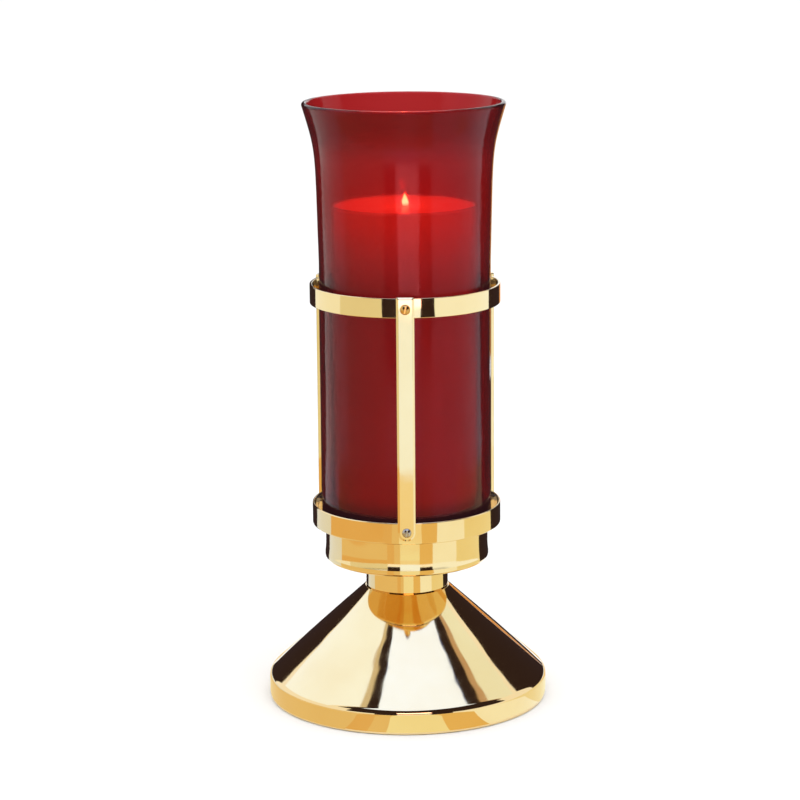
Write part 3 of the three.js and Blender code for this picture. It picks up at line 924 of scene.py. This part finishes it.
def make_ruby_globe(flame_place):
    """One profile: foot, straight side and flare, round lip, and the same way back on the inside."""
    low = bottom["ruby_globe"]
    floor = bottom["candle_container"]
    inner = GLOBE_RADIUS - GLOBE_WALL
    outside, inside = [], []
    for step in range(FLARE_STEPS + 1):
        along = step / FLARE_STEPS
        place, heading = bezier(FLARE, along)
        wall = GLOBE_WALL + (GLOBE_LIP * 2 - GLOBE_WALL) * along
        outside.append(place)
        inside.insert(0, place + Vector((-heading.y, heading.x)) * wall)
    centre = (outside[-1] + inside[0]) / 2
    reach = outside[-1] - centre
    lip = []
    for step in range(1, LIP_STEPS):
        angle = math.pi * step / LIP_STEPS
        lip.append(centre + Vector((
            reach.x * math.cos(angle) - reach.y * math.sin(angle),
            reach.x * math.sin(angle) + reach.y * math.cos(angle),
        )))
    flare_foot = FLARE[0][1]
    foot = rounded([(0, low, 0), (GLOBE_RADIUS, low, GLOBE_HEEL), (GLOBE_RADIUS, flare_foot, 0)])
    well = rounded([(inner, flare_foot, 0), (inner, floor, GLOBE_INNER_CORNER), (0, floor, 0)], steps=10)
    globe = turned("blown_globe", foot[:-1] + outside + lip + inside + well[1:])
    stand_for("ruby_globe", globe, ruby_glass(flame_place))


# ---- candle ----


def make_container(flame_place):
    radius, low, high = outer["candle_container"], bottom["candle_container"], top["candle_container"]
    inner = radius - CANDLE_WALL
    floor = bottom["candle_wax"]
    profile = rounded([
        (0, low, 0),
        (radius, low, CANDLE_CORNER),
        (radius, high, CANDLE_LIP),
        (inner, high, CANDLE_LIP),
        (inner, floor, CANDLE_CORNER - CANDLE_WALL),
        (0, floor, 0),
    ])
    container = turned("plastic_container", profile)
    stand_for("candle_container", container, container_plastic(flame_place))


def make_wax(flame_place):
    """The wax, with a softened shoulder and a shallow, slightly uneven pool round the wick."""
    radius, low, high = outer["candle_wax"], bottom["candle_wax"], top["candle_wax"]
    bore = WICK_RADIUS + GAP
    clip_radius = outer["wick_clip"] + GAP
    plate = low + CLIP_PLATE + GAP
    tube = top["wick_clip"] + GAP
    profile = rounded([
        (clip_radius, low, EDGE),
        (radius - CANDLE_CORNER, low, EASED_EDGE),
        (radius, low + CANDLE_CORNER, EASED_EDGE),
        (radius, high - WAX_TOP_PLAY, WAX_SHOULDER),
        (WAX_POOL_RADIUS, WAX_POOL_TOP, WAX_POOL_BEND),
        (bore, WAX_POOL_TOP, EDGE),
        (bore, tube, EDGE),
        (CLIP_TUBE_RADIUS + GAP, tube, EDGE),
        (CLIP_TUBE_RADIUS + GAP, plate, EDGE),
        (clip_radius, plate, EDGE),
    ], steps=10)
    body = turned("candle_body", profile)
    for vertex in body.data.vertices:
        reach = vertex.co.xy.length
        if vertex.co.z > WAX_POOL_TOP - WAX_DIP and reach > WAX_DIP_START:
            vertex.co.z -= WAX_DIP * (0.5 + noise.noise(vertex.co * WAX_DIP_SCALE))
    stand_for("candle_wax", body, wax(flame_place))


def make_wick():
    """Three cotton strands twisted together; the burnt end leans a little."""
    low, high = bottom["candle_wick"], top["candle_wick"]
    rings = [[Vector((0, 0, low))]]
    for row in range(WICK_ROWS + 1):
        height = low + (high - low) * row / WICK_ROWS
        burnt = max(0, height - WAX_POOL_TOP) / (high - WAX_POOL_TOP)
        lean = WICK_LEAN * burnt ** 2
        ring = []
        for side in range(WICK_SIDES):
            angle = math.tau * side / WICK_SIDES
            strand = abs(math.cos(WICK_STRANDS / 2 * (angle + height * WICK_TWIST)))
            lobes = 1 - WICK_GROOVE + WICK_GROOVE * strand
            reach = WICK_RADIUS * lobes * (1 - WICK_THINNING * burnt ** 3)
            ring.append(Vector((lean + reach * math.cos(angle), reach * math.sin(angle), height)))
        rings.append(ring)
    rings.append([Vector((WICK_LEAN, 0, high))])
    stand_for("candle_wick", mesh_object("twisted_wick", *skin(rings)), wick_cotton())


def make_wick_clip():
    low, high = bottom["wick_clip"], top["wick_clip"]
    bore = WICK_RADIUS + GAP
    profile = rounded([
        (outer["wick_clip"], low, EDGE),
        (outer["wick_clip"], low + CLIP_PLATE, EDGE),
        (CLIP_TUBE_RADIUS, low + CLIP_PLATE, EASED_EDGE),
        (CLIP_TUBE_RADIUS, high, SOFT_EDGE),
        (bore, high, EDGE),
        (bore, low, EDGE),
    ], steps=4)
    stand_for("wick_clip", turned("clip_pressing", profile, SMALL_SIDES), zinc_steel)


def make_flame():
    """The lit flame, a small teardrop over the wick."""
    low = WAX_POOL_TOP - FLAME_ROOT_DEPTH
    rings = [[Vector((WICK_LEAN, 0, low))]]
    for step in range(1, FLAME_STEPS):
        along = step / FLAME_STEPS
        swell = math.sin(math.pi * along ** FLAME_BELLY) ** FLAME_FULLNESS
        reach = FLAME_RADIUS * swell * (1 - FLAME_POINT * along)
        sway = Vector((WICK_LEAN - FLAME_SWAY * along, 0, 0))
        ring = circle(reach, low + FLAME_HEIGHT * along, FLAME_SIDES)
        rings.append([point + sway for point in ring])
    rings.append([Vector((WICK_LEAN - FLAME_SWAY, 0, low + FLAME_HEIGHT))])
    flame = mesh_object("flame", *skin(rings))
    smooth(flame)
    flame.data.materials.append(flame_light(low, low + FLAME_HEIGHT))
    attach(flame, body_of_node["candle_wick"])


# ---- studio ----

ARC_STEPS = 8
CARD_COLUMNS = 24


def arc_path(distance, low, high):
    """A card's path over the lamp, from one elevation to another."""
    angles = [math.radians(low + (high - low) * step / ARC_STEPS) for step in range(ARC_STEPS + 1)]
    return [(distance * math.cos(angle), distance * math.sin(angle)) for angle in angles]


def make_card(name, azimuths, path, material):
    """A card swept round the lamp that only reflections see.

    Its path is (distance, height) points; azimuth 0 is the front and + is right.
    """
    first, last = azimuths
    steps = range(CARD_COLUMNS + 1)
    angles = [math.radians(first + (last - first) * step / CARD_COLUMNS) for step in steps]
    vertices = [
        (distance * math.sin(angle), -distance * math.cos(angle), height)
        for distance, height in path
        for angle in angles
    ]
    faces = []
    for row in range(len(path) - 1):
        for column in range(CARD_COLUMNS):
            corner = row * (CARD_COLUMNS + 1) + column
            across = corner + CARD_COLUMNS + 1
            faces.append((corner, corner + 1, across + 1, across))
    card = mesh_object(name, vertices, faces)
    card.data.materials.append(material)
    card.visible_camera = False
    card.visible_diffuse = False
    card.visible_transmission = False
    card.visible_shadow = False


FAR_LEFT_OVER = 0.4  # share of the light left at the far end of a fade


def card_material(name, color, strength, fade=None):
    """Plain light; fade is two distances from the lamp, between which it falls away."""
    material, tree = emitter(name)
    if fade:
        away = new_node(tree, "ShaderNodeVectorMath", {0: object_position(tree)}, operation="LENGTH")
        strength = ranged(tree, away.outputs["Value"], strength, strength * FAR_LEFT_OVER, *fade)
    emit(tree, (*color, 1), strength)
    return material


CARD_FOOT = 0.001  # cards lie just clear of the floor, and of each other where they overlap
CARD_STRIPE = 0.0015
CARD_LOW = 0.002
CARD_STACKED = 0.003
CARD_NEAR = 1.1  # distances of the standing cards and of those overhead
CARD_SKY = 12.0
FOOT_START = 0.0895  # just outside the base
NEAR_START = 0.17
FLANGE_START = 0.44  # from here out the floor shows in the flange
FAR_START = 0.676
FAR_END = 3.2
FAR_FADE = (1.7, 3.0)
SCREEN_START = 0.25
LEFT_SCREEN = (-26.5, -9)  # azimuths that more than one card takes up
RIGHT_SCREEN = (18, 35)
BETWEEN_SCREENS = (-9, 18)
LEFT_GOLD = (-100, -26.5)
BLACK = (1, 0.6, 0.6)
BLACK_STRENGTH = 0.035


def lying(start, end, height=CARD_LOW):
    return [(start, height), (end, height)]


def standing(distance, height):
    return [(distance, CARD_LOW), (distance, height)]


def make_cards():
    """The studio that the brass and the glass mirror: soft lights, lit floor and black screens."""
    foot = lying(FOOT_START, NEAR_START, CARD_FOOT)
    near = lying(NEAR_START, FAR_START)
    far = lying(FAR_START, FAR_END)
    flange_left = lying(FLANGE_START, 0.67, CARD_STACKED)
    flange_middle = lying(FLANGE_START, FAR_START, CARD_STACKED)
    glass_strip = [(0.6, 0.166), (0.6, 0.26)]  # high enough that from the front only the glass mirrors it
    # name: azimuths, path, colour, strength
    lights = {
        "soft_top": ((-51, 84), arc_path(CARD_SKY, 54, 86), (0.79, 1, 1.7), 1.46),
        "soft_left": ((-136, -72), arc_path(CARD_SKY, 24, 84), (0.85, 1, 1.33), 1.33),
        "soft_right": ((100, 118.5), arc_path(CARD_SKY, 36, 66), (0.9, 1, 1.03), 1.11),
        "dim_left": ((-72, -65), arc_path(CARD_SKY, 50, 84), (1, 0.9, 0.74), 0.74),
        "dim_right": ((94.5, 100), arc_path(CARD_SKY, 40, 70), (1, 0.7, 0.48), 0.62),
        "warm_behind": ((157, 180), standing(CARD_NEAR, 0.3), (1, 0.42, 0.1), 0.75),
        "foot_gold_left": ((-150, -26.5), foot, (1, 0.78, 0.4), 0.907),
        "foot_light_right": ((70, 104), foot, (1, 0.93, 0.62), 1.0),
        "foot_orange_right": ((104, 150), foot, (1, 0.7, 0.3), 0.9),
        "near_pale_left": ((-137, -100), near, (0.92, 1, 1.08), 0.95),
        "near_gold_left": (LEFT_GOLD, near, (1, 0.76, 0.365), 0.907),
        "near_gold_right": ((70, 118.5), near, (1, 0.91, 0.546), 0.98),
        "flange_gold_left": (LEFT_GOLD, flange_left, (1, 0.634, 0.23), 0.88),
        "flange_gold_middle": ((-9, 17), flange_middle, (1, 0.885, 0.565), 1.04),
        "far_pale_left": ((-137, -83), far, (0.96, 1, 0.95), 1.11),
        "far_gold_left": ((-83, -26.5), far, (1, 0.96, 0.7), 0.9),
        "far_cream_middle": (BETWEEN_SCREENS, lying(FAR_START, 5.0), (0.85, 1, 1.26), 1.3),
        "far_cream_right": ((35, 118.5), far, (0.9, 1, 1.1), 1.25),
        "glass_strip": (BETWEEN_SCREENS, glass_strip, (1.6, 1, 1), 2.8),
    }
    foot_and_near = lying(FOOT_START, FAR_START, CARD_STRIPE)
    # name: azimuths, colour, strength
    stripes = {
        "stripe_orange_left": ((-26.5, -17), (1, 0.66, 0.26), 0.88),
        "stripe_gold_left": ((-17, -9), (1, 0.76, 0.365), 0.907),
        "stripe_light_middle": ((-9, 17), (1, 0.98, 0.68), 1.04),
        "stripe_orange_right": ((17, 35), (1, 0.7, 0.27), 0.917),
        "stripe_light_right": ((35, 70), (0.95, 1, 0.95), 1.15),
    }
    for name, (azimuths, color, strength) in stripes.items():
        make_card(name, azimuths, foot_and_near, card_material(name, color, strength))
    for name, (azimuths, path, color, strength) in lights.items():
        fade = FAR_FADE if path == far else None
        make_card(name, azimuths, path, card_material(name, color, strength, fade))
    black = card_material("card_black", BLACK, BLACK_STRENGTH)
    screens = {
        "black_front_left": (LEFT_SCREEN, standing(CARD_NEAR, 1.1)),
        "black_front_right": (RIGHT_SCREEN, standing(CARD_NEAR, 1.1)),
        "black_front_middle": ((-52, 86), arc_path(CARD_SKY, 10, 54)),
        "black_back_left": ((-176, -135), [*lying(SCREEN_START, 1.2), (1.2, 0.63)]),
        "black_back_right": ((118.5, 157), [*lying(SCREEN_START, 1.2), (1.2, 0.94)]),
        "black_behind": ((157, 176), lying(SCREEN_START, 1.0)),
        "black_strip_left": ((-65, -51), arc_path(CARD_SKY, 34, 84)),
        "black_strip_right": ((84, 94.5), arc_path(CARD_SKY, 34, 74)),
    }
    for name, (azimuths, path) in screens.items():
        make_card(name, azimuths, path, black)


FLOOR_REACH = 14
FLOOR_RINGS = 8
FLOOR_SIDES = 64


def make_floor():
    rings = [circle(FLOOR_REACH * ring / FLOOR_RINGS, 0, FLOOR_SIDES) for ring in range(FLOOR_RINGS + 1)]
    vertices, faces = skin(rings)
    floor = mesh_object("floor", vertices, faces)
    for face in floor.data.polygons:
        face.flip()
    material, tree, shader = principled("floor_paper", Roughness=0.9, Specular_IOR_Level=0.1)
    paper = noise_value(tree, object_position(tree), 8, 4)
    color = mixed(tree, ranged(tree, paper, 0, 1), (0.96, 0.96, 0.96, 1), (0.94, 0.94, 0.94, 1))
    feed(tree, shader, Base_Color=color)
    floor.data.materials.append(material)


WORLD_STRENGTH = 1.08
OVERHEAD_SIZE = 1.7
OVERHEAD_POWER = 12
OVERHEAD_PLACE = (0.25, -0.75, 2.0)


def make_lights():
    world = bpy.data.worlds.new("studio")
    bpy.context.scene.world = world
    world.use_nodes = True
    background = world.node_tree.nodes["Background"]
    background.inputs["Color"].default_value = (1, 1, 1, 1)
    background.inputs["Strength"].default_value = WORLD_STRENGTH
    light = bpy.data.lights.new("overhead_soft", "AREA")
    light.size = OVERHEAD_SIZE
    light.energy = OVERHEAD_POWER
    lamp = bpy.data.objects.new("overhead_soft", light)
    lamp.location = Vector(OVERHEAD_PLACE)
    lamp.visible_glossy = False
    lamp.rotation_euler = (-lamp.location).to_track_quat("-Z", "Y").to_euler()
    bpy.context.scene.collection.objects.link(lamp)


CAMERA_LENS = 118.83
CAMERA_SENSOR = 36
CAMERA_PLACE = Vector((0, -1.633, 0.5448))
CAMERA_TILT = 77.81  # degrees up from straight down
CAMERA_PAN = 0.128
CAMERA_ROLL = -0.45


def make_camera():
    data = bpy.data.cameras.new("photo_camera")
    data.lens = CAMERA_LENS
    data.sensor_width = CAMERA_SENSOR
    camera = bpy.data.objects.new("photo_camera", data)
    turn = spin(CAMERA_PAN, "Z") @ spin(CAMERA_TILT, "X") @ spin(CAMERA_ROLL, "Z")
    camera.matrix_world = Matrix.Translation(CAMERA_PLACE) @ turn
    bpy.context.scene.collection.objects.link(camera)
    bpy.context.scene.camera = camera


# ---- assembly ----

make_base_shell()
make_base_felt()
make_base_weight()
make_neck_collar()
make_holder_cup()
make_globe_ring()
for side, azimuth in UPRIGHT_AZIMUTHS.items():
    make_upright(side, azimuth)
    make_screw("top", side, azimuth, screw_brass)
    make_wall_nut("top", side, azimuth, screw_brass)
    make_screw("foot", side, azimuth, nickel_steel)
    make_wall_nut("foot", side, azimuth, nickel_steel)
make_centre_fixing()
glow_centre = (0, 0, top["candle_wick"] + GLOW_ABOVE_WICK)
make_ruby_globe(glow_centre)
make_container(glow_centre)
make_wax(glow_centre)
make_wick()
make_wick_clip()
make_flame()

make_floor()
make_cards()
make_lights()
make_camera()
bpy.context.scene.view_settings.view_transform = "Standard"
